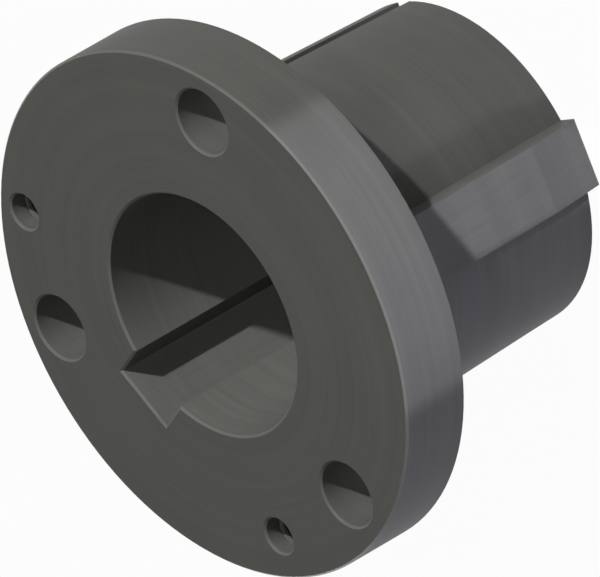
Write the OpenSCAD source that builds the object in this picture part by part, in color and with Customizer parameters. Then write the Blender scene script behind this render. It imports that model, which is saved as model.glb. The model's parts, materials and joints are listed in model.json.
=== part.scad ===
// Split taper bushing.
// It stands on the small end of its barrel at z = 0, with the flange on top.
// Angles run counterclockwise, seen from the flange's front face.

/* [Flange] */
// Thickness of the flange
flange_t = 10.5; // [7:0.1:14]
// Metal left between a cap screw hole and the flange's rim
rim_land = 2.44; // [1.5:0.01:6]

/* [Barrel] */
// Length from the small end to the flange's front face
overall_len = 49.4; // [40:0.1:60]
// Diameter of the barrel at its small end
barrel_small_d = 47; // [46.5:0.05:48]
// Angle between the barrel's wall and its axis
taper_angle = 2; // [1:0.25:3]

/* [Bore] */
// Diameter of the bore
bore_d = 34.925; // [28:0.005:36]
// Width of the keyway in the bore
keyway_w = 9.525; // [6:0.005:11]
// Depth of the keyway beyond the bore's wall
keyway_depth = 4.55; // [2:0.05:5]
// Direction of the keyway
keyway_angle = 270; // [255:1:285]

/* [Barrel key] */
// Width of the key on the barrel
key_w = 9.525; // [6:0.005:13]
// Height of the key's top over the barrel's wall
key_rise = 3.65; // [2.5:0.05:5]
// Length of the ramp that leads the key in
ramp_len = 9.4; // [4:0.1:12]
// Steepness of the ramp, measured from the axis
ramp_angle = 10; // [5:0.5:15]
// Direction of the key
key_angle = 60; // [50:1:70]

/* [Saw slots] */
// Width of each saw slot in the barrel
slot_w = 2.4; // [1.5:0.1:4]
// Direction of the first slot, with the second one opposite
slot_angle = 150; // [140:1:165]

/* [Cap screw holes] */
// Diameter of a cap screw hole
screw_hole_d = 9.4; // [8:0.1:11]
// Gap between the barrel's wall and a cap screw hole, at the flange
screw_gap = 1.4; // [1:0.05:3]
// Number of cap screw holes
screw_count = 3; // [2:1:3]
// Direction of the first cap screw hole
first_screw_angle = 0; // [-10:1:10]

/* [Jack screw holes] */
// Diameter of the tapped holes inside their threads
jack_hole_d = 5.1; // [3.5:0.1:6]
// Metal left between the first tapped hole and the flange's rim
jack_a_land = 2.1; // [1.5:0.05:5]
// Direction of the first tapped hole
jack_a_angle = 210; // [205:0.5:215]
// Metal left between the second tapped hole and the flange's rim
jack_b_land = 3.6; // [1.5:0.05:5]
// Direction of the second tapped hole
jack_b_angle = 326.5; // [320:0.5:330]

/* [Edges] */
// Width of the broken edges
edge_break = 0.3; // [0.1:0.05:0.6]
// Number of sides that a preview gives a full circle
circle_sides = 180; // [48:12:360]

/* [Hidden] */
$fn = circle_sides;
iron = [0.32, 0.32, 0.31];
// How far a cutting shape runs past the face that it opens
past = 1;
bore_r = bore_d / 2;
// The flange's back face, where the barrel begins
back_z = overall_len - flange_t;
// Circle that the cap screw holes lie on, worked out from the barrel, and the rim outside it
screw_circle_r = barrel_r(back_z) + screw_gap + screw_hole_d / 2;
flange_r = screw_circle_r + screw_hole_d / 2 + rim_land;
// Each tapped hole's distance from the axis and its direction
jack_holes = [
    [flange_r - jack_a_land - jack_hole_d / 2, jack_a_angle],
    [flange_r - jack_b_land - jack_hole_d / 2, jack_b_angle]
];

// Radius of the barrel's wall at a height
function barrel_r(z) = barrel_small_d / 2 + z * tan(taper_angle);

// Outline of a straight cut of half width half from low to high, flared at both
// ends by the edge break, for one side of its centre line
function flared_side(half, low, high) = [
    [half + edge_break + past, low - past],
    [half, low + edge_break],
    [half, high - edge_break],
    [half + edge_break + past, high + past]
];

// Flange and tapered barrel, turned from one casting
module turned_body() {
    rotate_extrude()
        polygon([
            [0, 0],
            [barrel_r(0), 0],
            [barrel_r(back_z), back_z],
            [flange_r, back_z],
            [flange_r, overall_len - edge_break],
            [flange_r - edge_break, overall_len],
            [0, overall_len]
        ]);
}

// Key that drives the hub: its top follows the taper and ramps down at the small end
module barrel_key() {
    ramp_top_r = barrel_r(ramp_len) + key_rise;
    root_r = (bore_r + barrel_r(0)) / 2;
    rotate([0, 0, key_angle])
        translate([0, key_w / 2, 0])
            rotate([90, 0, 0])
                linear_extrude(key_w)
                    polygon([
                        [root_r, 0],
                        [ramp_top_r - ramp_len * tan(ramp_angle), 0],
                        [ramp_top_r, ramp_len],
                        [barrel_r(back_z) + key_rise, back_z],
                        [barrel_r(back_z) + key_rise, back_z + edge_break],
                        [root_r, back_z + edge_break]
                    ]);
}

// Round hole from low to high, with the edge broken at both mouths
module round_cut(d, low, high) {
    rotate_extrude()
        polygon(concat(
            [[0, low - past]],
            flared_side(d / 2, low, high),
            [[0, high + past]]
        ));
}

// Keyway of the bore, with its floor and both walls flared at the two mouths
module keyway_cut() {
    floor_r = bore_r + keyway_depth;
    wall = flared_side(keyway_w / 2, 0, overall_len);
    other_wall = [for (i = [len(wall) - 1 : -1 : 0]) [-wall[i][0], wall[i][1]]];
    rotate([0, 0, keyway_angle])
        intersection() {
            rotate([90, 0, 90])
                linear_extrude(floor_r + edge_break + past)
                    polygon(concat(wall, other_wall));
            rotate([90, 0, 0])
                linear_extrude(2 * keyway_w, center = true)
                    polygon(concat(
                        [[0, -past]],
                        flared_side(floor_r, 0, overall_len),
                        [[0, overall_len + past]]
                    ));
        }
}

// Two opposite cuts that split the barrel up to the flange
module saw_slots() {
    reach = barrel_r(back_z) + past;
    rotate([0, 0, slot_angle])
        translate([-reach, -slot_w / 2, -past])
            cube([2 * reach, slot_w, back_z + past]);
}

module cap_screw_holes() {
    for (i = [0 : screw_count - 1])
        rotate([0, 0, first_screw_angle + i * 360 / screw_count])
            translate([screw_circle_r, 0, 0])
                round_cut(screw_hole_d, back_z, overall_len);
}

module jack_screw_holes() {
    for (hole = jack_holes)
        rotate([0, 0, hole[1]])
            translate([hole[0], 0, 0])
                round_cut(jack_hole_d, back_z, overall_len);
}

module bushing() {
    color(iron)
        difference() {
            union() {
                turned_body();
                barrel_key();
            }
            round_cut(bore_d, 0, overall_len);
            keyway_cut();
            saw_slots();
            cap_screw_holes();
            jack_screw_holes();
        }
}

bushing();
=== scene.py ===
# %% [markdown]
# # A split taper bushing
# A taper bushing clamps a pulley or sprocket to a shaft. Three cap screws pull
# its slotted barrel into a tapered hub, the barrel closes on the shaft, and two
# keys carry the torque. Here the exact solid is loaded. A copy of it gets the
# threads in its two jack screw holes, and is finished as dark turned iron.

# %% Load the fixed frame
import json
from math import atan2, cos, pi, radians, sin, sqrt

import bpy
from mathutils import Matrix, Vector


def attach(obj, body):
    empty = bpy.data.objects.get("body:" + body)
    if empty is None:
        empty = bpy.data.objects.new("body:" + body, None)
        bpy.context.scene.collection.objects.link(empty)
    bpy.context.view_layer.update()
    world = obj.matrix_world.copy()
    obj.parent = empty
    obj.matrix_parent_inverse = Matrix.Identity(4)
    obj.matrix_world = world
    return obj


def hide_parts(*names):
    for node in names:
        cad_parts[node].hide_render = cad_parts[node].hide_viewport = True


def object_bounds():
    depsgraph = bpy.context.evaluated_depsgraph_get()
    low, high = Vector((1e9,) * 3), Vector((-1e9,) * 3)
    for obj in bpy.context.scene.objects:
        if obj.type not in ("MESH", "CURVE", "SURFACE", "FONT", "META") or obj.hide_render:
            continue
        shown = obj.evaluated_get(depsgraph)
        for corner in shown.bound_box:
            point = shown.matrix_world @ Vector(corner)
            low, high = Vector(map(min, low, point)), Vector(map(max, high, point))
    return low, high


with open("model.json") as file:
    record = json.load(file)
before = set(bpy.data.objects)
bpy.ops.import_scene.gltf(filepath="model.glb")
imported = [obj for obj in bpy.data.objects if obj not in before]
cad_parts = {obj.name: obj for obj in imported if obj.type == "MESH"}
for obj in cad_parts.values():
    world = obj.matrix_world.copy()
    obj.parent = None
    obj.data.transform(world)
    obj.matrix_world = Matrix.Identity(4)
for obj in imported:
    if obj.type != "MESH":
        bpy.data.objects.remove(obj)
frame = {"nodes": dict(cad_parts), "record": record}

MM = 0.001
cad_low, cad_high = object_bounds()
print("solid's box in mm:", [round(v / MM, 2) for v in cad_high - cad_low])

# %% [markdown]
# The record keeps the sizes that other parts connect to, so the finish is
# placed by them: the bore, the jack holes and the faces of the flange. What the
# record doesn't give, such as the barrel's taper, is repeated here. The part's
# sizes are in mm, and its angles in degrees round the axis. What belongs to the
# studio, such as the distance of a lamp, is in metres.

# %% Sizes that the finish needs
mounts = {mount["name"]: mount for mount in frame["record"]["mounts"]}
FRONT = mounts["flange_front"]["pos_m"][2] / MM
BACK = mounts["flange_back"]["pos_m"][2] / MM
BORE_R = mounts["bore"]["dims"]["r_mm"]
JACK_HOLE_R = mounts["jack_hole_a"]["dims"]["r_mm"]
FLANGE_R = (cad_high.x - cad_low.x) / 2 / MM
BARREL_SMALL_R, BARREL_LARGE_R = 23.5, 24.858
TAPER = BARREL_LARGE_R - BARREL_SMALL_R
KEY_ANGLE, SLOT_ANGLE = 60, 150
KEY_TOP_R = 28.0
print("flange from", BACK, "to", FRONT, "mm, radius", round(FLANGE_R, 2))

# %% [markdown]
# ## The camera
# The picture is a drawing-like view along a diagonal of the part, almost
# without perspective. A very long lens from far away gives that, and unlike an
# orthographic camera it still frames the part when it's moved to other sides.

# %% Camera
LENS, SENSOR = 1500, 36
FRAME_WIDTH = 79.00
AIM_RIGHT, AIM_UP = 12.90, 3.53
toward_camera = Vector((0.2113249, 0.7886751, 0.5773503))
picture_right = Vector((0.6123724, 0.3535534, -0.7071068))
picture_up = toward_camera.cross(picture_right)
aim = Vector((0, 0, FRONT)) + AIM_RIGHT * picture_right + AIM_UP * picture_up

bpy.ops.object.select_all(action="DESELECT")
bpy.ops.object.camera_add(location=(aim + toward_camera * FRAME_WIDTH * LENS / SENSOR) * MM)
camera = bpy.context.object
camera.name = "photo_camera"
camera.rotation_euler = Matrix((picture_right, picture_up, toward_camera)).transposed().to_euler()
camera.data.lens = LENS
camera.data.sensor_width = SENSOR
camera.data.clip_end = 20
bpy.context.scene.camera = camera
print("camera at", [round(v, 3) for v in camera.location])

# %% [markdown]
# ## The light
# A smooth dark part needs light from several sides, or its round faces sink
# into one grey. The key light comes over the upper left, small enough to throw
# the flange's shadow crisply on the barrel and into the bore. A second one
# stands higher and fills in. A cool lamp stands low on the right, and two more
# low ones light the sides that this picture doesn't show.

# %% Lamps round the part
LAMP_DISTANCE = 1.5
LAMP_AIM = Vector((0, 0, 30)) * MM
WARM_WHITE, COOL_WHITE, PLAIN_WHITE = (1.0, 1.0, 0.97), (0.81, 0.78, 1.0), (1.0, 1.0, 0.99)


def stand_lamp(name, place, toward, power, colour):
    """An area lamp at a place, shining against the direction toward."""
    bpy.ops.object.select_all(action="DESELECT")
    bpy.ops.object.light_add(type="AREA", location=place)
    lamp = bpy.context.object
    lamp.name = name
    lamp.rotation_euler = toward.to_track_quat("Z", "Y").to_euler()
    lamp.data.energy = power
    lamp.data.color = colour
    lamp.visible_camera = False
    print(name, "at", [round(v, 2) for v in place], "m,", power, "W")
    return lamp


def direction(around, up=0):
    """The way to a lamp, from its angle round the part and above the floor."""
    around, up = radians(around), radians(up)
    return Vector((cos(around) * cos(up), sin(around) * cos(up), sin(up)))


# Each lamp has its two angles, its width and height in metres, its watts and its colour
for name, around, up, width, height, power, colour in (
        ("key_light", 124.2, 36, 0.05, 0.05, 17.5, WARM_WHITE),
        ("high_light", 85, 50, 0.10, 0.10, 4.0, WARM_WHITE),
        ("side_light", 19, 0, 0.20, 0.04, 9.6, COOL_WHITE),
        ("left_light", 240, 0, 0.40, 0.04, 8.0, PLAIN_WHITE),
        ("back_light", 286, 0, 0.40, 0.04, 8.0, PLAIN_WHITE)):
    toward = direction(around, up)
    lamp = stand_lamp(name, LAMP_AIM + toward * LAMP_DISTANCE, toward, power, colour)
    lamp.data.shape = "ELLIPSE"
    lamp.data.size, lamp.data.size_y = width, height

# %% [markdown]
# Two narrow beams pick out the flange's rim and the top of the key, as strip
# lights do in a studio. An area lamp with a small spread shines almost straight
# ahead, and standing close it keeps the edges of its light crisp. The key's
# beam comes in slanted, so it ends along the line of the flange's own shadow.

# %% Two beams
BEAM_DISTANCE = 0.05
BEAM_WHITE = (0.91, 0.91, 1.0)


def stand_beam(name, lit, toward, width, height, spread, power):
    """A narrow beam onto the place lit. The place and the sizes are in mm."""
    lamp = stand_lamp(name, lit * MM + toward * BEAM_DISTANCE, toward, power, BEAM_WHITE)
    lamp.data.shape = "RECTANGLE"
    lamp.data.size, lamp.data.size_y = width * MM, height * MM
    lamp.data.spread = radians(spread)


rim_side = direction(68)
rim_middle = rim_side * FLANGE_R + Vector((0, 0, BACK + 5.5))
stand_beam("rim_beam", rim_middle, rim_side, 41.6, 13.0, 4.0, 0.00112)
key_middle = direction(KEY_ANGLE) * KEY_TOP_R + direction(KEY_ANGLE + 90) * 0.6 + Vector((0, 0, 12))
stand_beam("key_beam", key_middle, direction(84, 45), 9.1, 21.2, 2.0, 0.00061)

# %% [markdown]
# ## Materials as sums
# A material is a small network of nodes. Written as Python sums it stays
# readable: the class below wraps one socket, and each sign makes the Math node
# that it stands for. Every other node comes from one method of the book.

# %% A socket that can be calculated with
class Value:
    def __init__(self, book, socket):
        self.book, self.socket = book, socket

    def math(self, operation, *others):
        return self.book.math(operation, self, *others)

    def __add__(self, other): return self.math("ADD", other)
    def __radd__(self, other): return self.math("ADD", other)
    def __sub__(self, other): return self.math("SUBTRACT", other)
    def __rsub__(self, other): return self.book.math("SUBTRACT", other, self)
    def __mul__(self, other): return self.math("MULTIPLY", other)
    def __rmul__(self, other): return self.math("MULTIPLY", other)
    def __neg__(self): return self.math("MULTIPLY", -1.0)
    def __abs__(self): return self.math("ABSOLUTE")
    def root(self): return self.math("SQRT")
    def more(self, other): return self.math("MAXIMUM", other)

    def rise(self, start, end):
        """0 below start, 1 above end, and smooth between them."""
        ramp = {"interpolation_type": "SMOOTHSTEP"}
        ends = {"Value": self, "From Min": start, "From Max": end}
        return self.book.node("ShaderNodeMapRange", ramp, ends)


# %% The book that holds the nodes of one material or world
class Book:
    def __init__(self, owner):
        owner.use_nodes = True
        self.owner = owner
        self.nodes, self.links = owner.node_tree.nodes, owner.node_tree.links
        self.nodes.clear()

    def node(self, kind, settings=None, values=None, output=0):
        """A node with its settings, then its sockets. The output has a number or a name."""
        made = self.nodes.new(kind)
        for key, value in (settings or {}).items():
            setattr(made, key, value)
        for key, value in (values or {}).items():
            if isinstance(value, Value):
                self.links.new(value.socket, made.inputs[key])
            else:
                made.inputs[key].default_value = value
        return Value(self, made.outputs[output])

    def finish(self, surface, ending="ShaderNodeOutputMaterial"):
        self.links.new(surface.socket, self.nodes.new(ending).inputs["Surface"])

    def math(self, operation, *numbers):
        return self.node("ShaderNodeMath", {"operation": operation}, dict(enumerate(numbers)))

    def vector(self, x, y, z):
        return self.node("ShaderNodeCombineXYZ", None, {"X": x, "Y": y, "Z": z})

    def parts(self, vector):
        split = self.node("ShaderNodeSeparateXYZ", None, {0: vector})
        return [Value(self, out) for out in split.socket.node.outputs]

    def scaled(self, vector, scale):
        """A vector or a colour, times a number."""
        return self.node("ShaderNodeVectorMath", {"operation": "SCALE"}, {0: vector, "Scale": scale})

    def noise(self, vector, scale, detail):
        values = {"Vector": vector, "Scale": scale, "Detail": detail}
        return self.node("ShaderNodeTexNoise", None, values)

    # A Mix node has its own sockets for each kind: 2 and 3 for numbers, 6 and 7 for colours
    def blend(self, mask, first, second):
        """Numbers: the first where the mask is 0, the second where it is 1."""
        return self.node("ShaderNodeMix", {"data_type": "FLOAT"}, {0: mask, 2: first, 3: second})

    def tint(self, mask, first, second):
        """Colours: the first where the mask is 0, the second where it is 1."""
        values = {0: mask, 6: first, 7: second}
        return self.node("ShaderNodeMix", {"data_type": "RGBA"}, values, output=2)


# %% [markdown]
# ## The floor and the white background
# The picture's background is pure white, but a lamp strong enough to make a
# floor white would wash out the part. So the floor and the world are lit
# plainly, and show white only to the camera and in reflections. A part of the
# floor's own shading stays in the mix, and with it the part's soft shadow.

# %% White where it is seen, plain where it lights
WHITE = (1, 1, 1, 1)
PAPER_GREY = (0.45, 0.45, 0.45, 1)
FLOOR_SIZE = 6
FLOOR_GAP = 0.02
FLOOR_WHITE = 0.965


def seen_directly(book):
    """A mask: 1 for what the camera sees, straight or in a reflection."""
    rays = book.node("ShaderNodeLightPath").socket.node.outputs
    camera_ray, glossy, through = [Value(book, rays[f"Is {kind} Ray"])
                                   for kind in ("Camera", "Glossy", "Transmission")]
    return camera_ray.more(glossy).more(through)


floor_book = Book(bpy.data.materials.new("studio_floor"))
paper = floor_book.node("ShaderNodeBsdfDiffuse", None, {"Color": PAPER_GREY})
glow = floor_book.node("ShaderNodeEmission", None, {"Color": WHITE, "Strength": 1.0})
whiteness = seen_directly(floor_book) * FLOOR_WHITE
floor_book.finish(floor_book.node("ShaderNodeMixShader", None, {0: whiteness, 1: paper, 2: glow}))

bpy.ops.object.select_all(action="DESELECT")
bpy.ops.mesh.primitive_plane_add(size=FLOOR_SIZE, location=(0, 0, cad_low.z - FLOOR_GAP * MM))
floor = bpy.context.object
floor.name = "studio_floor"
bpy.ops.object.transform_apply(location=True, rotation=True, scale=True)
floor.data.materials.append(floor_book.owner)
print("floor", FLOOR_SIZE, "m wide at z =", round(floor.data.vertices[0].co.z / MM, 3), "mm")

# %% The world
SKY = 0.02
world = bpy.data.worlds.new("studio_world")
bpy.context.scene.world = world
sky_book = Book(world)
strength = sky_book.blend(seen_directly(sky_book), SKY, 1.0)
sky = sky_book.node("ShaderNodeBackground", None, {"Color": WHITE, "Strength": strength})
sky_book.finish(sky, "ShaderNodeOutputWorld")
bpy.context.scene.view_settings.view_transform = "Standard"
print("world lights with", SKY)

# %% [markdown]
# ## The threads
# The two small holes are for jack screws, which push the bushing out of its
# hub again, so they are tapped. A tap is a long screw with a sharp profile. The
# same is made here: one tooth outline is drawn point by point, the Screw
# modifier turns it into a spiral, its ends are closed, and a Boolean cuts it
# out of a copy of the solid. The solid itself is never changed.

# %% The tap's outline
PITCH = 1.27
TURNS = 12
TAP_STEPS = 48
TOOTH_R = JACK_HOLE_R + 0.6
CORE_R = JACK_HOLE_R - 0.12
# One tooth: how far along the pitch each corner lies, and its radius
TOOTH = ((0.075, CORE_R), (0.4375, TOOTH_R), (0.5625, TOOTH_R), (0.925, CORE_R))


def draw_line(points):
    """One open line through the points, drawn by extruding its last point."""
    bpy.ops.object.select_all(action="DESELECT")
    bpy.ops.mesh.primitive_plane_add(size=1 * MM, location=(0, 0, 0))
    bpy.ops.object.mode_set(mode="EDIT")
    bpy.ops.mesh.select_all(action="SELECT")
    bpy.ops.mesh.merge(type="CENTER")
    bpy.ops.transform.translate(value=points[0])
    for start, end in zip(points, points[1:]):
        step = tuple(b - a for a, b in zip(start, end))
        bpy.ops.mesh.extrude_vertices_move(TRANSFORM_OT_translate={"value": step})
    bpy.ops.object.mode_set(mode="OBJECT")
    return bpy.context.object


outline = [(radius * MM, 0, (turn + share) * PITCH * MM)
           for turn in range(TURNS) for share, radius in TOOTH]
tap = draw_line(outline)
tap.name = "tap"
print("tap outline has", len(tap.data.vertices), "points")

# %% [markdown]
# The photo shows clean round mouths, so the thread starts a little below the
# front face and ends just short of the back one. The teeth rise out of the
# tap's core over a short way, as they do on a real tap.

# %% Turn the outline into a closed tap
FRONT_PLAIN, BACK_PLAIN, RUN_IN = 2.3, 0.7, 1.0
TAP_END = 0.4
MERGE_WITHIN = 0.0001


def fade_teeth(mesh, low, high):
    """Sink the teeth into the tap's core outside low to high."""
    for vertex in mesh.vertices:
        x, y, z = vertex.co / MM
        share = max(0.0, min(1.0, (z - low) / RUN_IN, (high - z) / RUN_IN))
        radius = sqrt(x * x + y * y)
        wanted = CORE_R + (radius - CORE_R) * share
        vertex.co.x *= wanted / radius
        vertex.co.y *= wanted / radius


spiral = tap.modifiers.new("spiral", "SCREW")
spiral.axis = "Z"
spiral.angle = 2 * pi
spiral.screw_offset = PITCH * MM
spiral.steps = spiral.render_steps = TAP_STEPS
bpy.ops.object.modifier_apply(modifier=spiral.name)

tap.location.z = (BACK - 2 * PITCH) * MM
bpy.ops.object.transform_apply(location=True, rotation=True, scale=True)
bpy.ops.object.mode_set(mode="EDIT")
bpy.ops.mesh.select_all(action="SELECT")
bpy.ops.mesh.remove_doubles(threshold=MERGE_WITHIN * MM)
bpy.ops.object.mode_set(mode="OBJECT")
fade_teeth(tap.data, BACK + BACK_PLAIN, FRONT - FRONT_PLAIN)

bpy.ops.object.mode_set(mode="EDIT")
for level, outwards in ((BACK - TAP_END, -1), (FRONT + TAP_END, 1)):
    bpy.ops.mesh.select_all(action="SELECT")
    bpy.ops.mesh.bisect(plane_co=(0, 0, level * MM), plane_no=(0, 0, outwards),
                        use_fill=True, clear_outer=True)
bpy.ops.mesh.select_all(action="SELECT")
bpy.ops.mesh.normals_make_consistent(inside=False)
bpy.ops.object.mode_set(mode="OBJECT")
print("tap has", len(tap.data.polygons), "faces")

# %% [markdown]
# The solid comes as loose triangles, which can't be shaded smoothly. A copy is
# joined point to point first. The tap then cuts it once in each jack hole.

# %% Tap both jack holes in a copy of the solid
bpy.ops.object.select_all(action="DESELECT")
bpy.ops.object.add(type="MESH", location=(0, 0, 0))
bushing = bpy.context.object
bushing.name = "tapped_bushing"
bushing.data = frame["nodes"]["bushing"].data.copy()
bpy.ops.mesh.customdata_custom_splitnormals_clear()
bpy.ops.object.mode_set(mode="EDIT")
bpy.ops.mesh.select_all(action="SELECT")
bpy.ops.mesh.remove_doubles(threshold=MERGE_WITHIN * MM)
bpy.ops.mesh.normals_make_consistent(inside=False)
bpy.ops.object.mode_set(mode="OBJECT")
print("solid joined:", len(bushing.data.vertices), "points,", len(bushing.data.polygons), "faces")

for name in ("jack_hole_a", "jack_hole_b"):
    tap.location = (*mounts[name]["pos_m"][:2], 0)
    bpy.context.view_layer.update()
    cut = bushing.modifiers.new(name, "BOOLEAN")
    cut.operation, cut.solver, cut.object = "DIFFERENCE", "EXACT", tap
    bpy.context.view_layer.objects.active = bushing
    bpy.ops.object.modifier_apply(modifier=name)
    print(name, "tapped:", len(bushing.data.polygons), "faces")
bpy.data.objects.remove(tap)

# %% [markdown]
# Edges of less than 30 degrees are smoothed, so the round faces look round. The
# key's ramp meets its top at a flatter angle than that, so the edges that stand
# proud of the barrel there are marked as sharp first.

# %% Smooth the round faces and keep the key's edges crisp
SMOOTH_BELOW = 30
KEY_REACH = 12.5    # degrees to either side, just past the key
TOLERANCE = 0.02


def barrel_radius(level):
    return BARREL_SMALL_R + TAPER * level / BACK


sharp_edges = 0
for edge in bushing.data.edges:
    ends = [bushing.data.vertices[i].co / MM for i in edge.vertices]
    middle = (ends[0] + ends[1]) / 2
    proud = min(end.xy.length - barrel_radius(end.z) for end in ends) > -TOLERANCE
    turned_by = abs(atan2(middle.y, middle.x) - radians(KEY_ANGLE))
    if proud and middle.z < BACK - TOLERANCE and turned_by < radians(KEY_REACH):
        edge.use_edge_sharp = True
        sharp_edges += 1
bpy.ops.object.select_all(action="DESELECT")
bushing.select_set(True)
bpy.ops.object.shade_smooth_by_angle(angle=radians(SMOOTH_BELOW), keep_sharp_edges=True)
print(sharp_edges, "edges of the key kept sharp")

# %% What it rides on and stands for
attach(bushing, "root")
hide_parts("bushing")

# %% [markdown]
# ## Dark turned iron
# The part is turned on a lathe from cast iron and left dark and satin. A lathe
# leaves fine rings: round the axis on the flange's face, and level with it on
# every round side. The keyway, the key and the slots are cut by other tools,
# which leave straight lines along the part. Which marks a point gets follows
# from its place and from where its surface faces. Each mask fades over a few
# tenths of a millimetre, so no tone ends in a hard line.

# %% Where each tool has worked
KEYWAY_R, KEYWAY_SIDE = 22.7, 4.9   # just past the keyway's floor and walls
SLOT_SIDE = 1.22                    # just past a slot's walls

iron = Book(bpy.data.materials.new("dark_turned_iron"))
place = iron.node("ShaderNodeTexCoord", output="Object")
facing = iron.node("ShaderNodeTexCoord", output="Normal")
in_mm = iron.scaled(place, 1 / MM)
x, y, z = iron.parts(in_mm)
radius = (x * x + y * y).root()
tilt = abs(iron.parts(facing)[2])

flat = tilt.rise(0.80, 0.92)
broken_edge = tilt.rise(0.50, 0.62) * (1 - flat)
below_flange = 1 - z.rise(BACK - 0.1, BACK)

bored = 1 - radius.rise(BORE_R + 0.05, BORE_R + 0.2)
within_keyway_r = 1 - radius.rise(KEYWAY_R, KEYWAY_R + 0.2)
within_keyway_sides = 1 - abs(x).rise(KEYWAY_SIDE, KEYWAY_SIDE + 0.3)
in_keyway = (1 - bored) * within_keyway_r * within_keyway_sides * (-y).rise(0, 1)
drilled = z.rise(BACK, BACK + 0.1) * (1 - radius.rise(FLANGE_R - 1.2, FLANGE_R - 1.0))

above_barrel = radius - (BARREL_SMALL_R + z * (TAPER / BACK))
on_key = above_barrel.rise(0.08, 0.2) * below_flange
off_slot = abs(x * sin(radians(SLOT_ANGLE)) - y * cos(radians(SLOT_ANGLE)))
in_slot = (1 - off_slot.rise(SLOT_SIDE, SLOT_SIDE + 0.08)) * radius.rise(BORE_R + 0.1, BORE_R + 0.3)
milled = in_keyway.more(on_key).more(in_slot * below_flange) * (1 - flat)

# %% The marks themselves
# How often each pattern changes per mm, across the cut and along it
FINE_ACROSS, FINE_ALONG = 3.2, 0.03
WIDE_ACROSS, WIDE_ALONG = 0.55, 0.01
STRAIGHT_ACROSS, STRAIGHT_ALONG = 3.0, 0.06
GRAIN, CLOUD = 4.0, 0.09

across = iron.blend(flat, z, radius)
fine_rings = iron.noise(iron.vector(across * FINE_ACROSS, x * FINE_ALONG, y * FINE_ALONG), 1.0, 3.0)
wide_rings = iron.noise(iron.vector(across * WIDE_ACROSS, x * WIDE_ALONG, y * WIDE_ALONG), 1.0, 2.0)
straight = iron.noise(
    iron.vector(x * STRAIGHT_ACROSS, y * STRAIGHT_ACROSS, z * STRAIGHT_ALONG), 1.0, 3.0)
marks = iron.blend(milled, fine_rings, straight)
grain = iron.noise(in_mm, GRAIN, 2.0)
cloud = iron.noise(in_mm, CLOUD, 3.0)

# %% [markdown]
# The noise nodes give 0.5 on average, so each is centred before it is weighted:
# the tone and the gloss then vary round their plain values. The bore and the
# keyway get a lighter colour, and the drilled holes come halfway: painted light
# that brightens these hollows. The faces across the axis get a slightly darker
# colour than the sides: painted shade. The edge breaks are lighter, partly as
# wear from handling and partly as a painted highlight.

# %% Colour, gloss and relief
SIDES = (0.1020, 0.1020, 0.0980, 1)
# The faces' colour is a slightly darker copy of the sides' colour: painted shade
SHADED_FACES = (0.0965, 0.0965, 0.0918, 1)
# The hollows' colour is a lighter copy of the iron colour: painted light
LIT_HOLLOWS = (0.1470, 0.1470, 0.1420, 1)
# The edge breaks' colour is lighter partly as wear and partly as a painted highlight
WORN_AND_HIGHLIGHT = (0.1650, 0.1650, 0.1580, 1)
EDGE_WEAR_AND_HIGHLIGHT = 0.60
ROUGHNESS = 0.62
RELIEF_DEPTH = 0.02

patchy = (cloud - 0.5) * 0.20 + (marks - 0.5) * 0.30 + (wide_rings - 0.5) * 0.22
# Painted light: the bore and the keyway get the lighter colour, the drilled holes half of it
inside = bored.more(in_keyway).more(drilled * 0.5)
colour = iron.tint(inside, SIDES, LIT_HOLLOWS)
# Painted shade: surfaces that face along the axis get the slightly darker colour
colour = iron.tint(tilt.rise(0.45, 0.65), colour, SHADED_FACES)
colour = iron.scaled(colour, 1 + patchy)
# Edge breaks: lighter partly from wear, partly as a painted highlight along them
colour = iron.tint(broken_edge * EDGE_WEAR_AND_HIGHLIGHT, colour, WORN_AND_HIGHLIGHT)
roughness = ROUGHNESS + (marks - 0.5) * 0.16 + (cloud - 0.5) * 0.10 - broken_edge * 0.08
height = marks * 0.6 + wide_rings * 0.3 + grain * 0.25
relief = iron.node("ShaderNodeBump", None, {
    "Strength": 0.6, "Distance": RELIEF_DEPTH * MM, "Height": height})
iron.finish(iron.node("ShaderNodeBsdfPrincipled", None, {
    "Base Color": colour, "Roughness": roughness, "Normal": relief,
    "Metallic": 0.0, "Specular IOR Level": 0.12}))
bushing.data.materials.clear()
bushing.data.materials.append(iron.owner)
print("iron has", len(iron.nodes), "nodes")
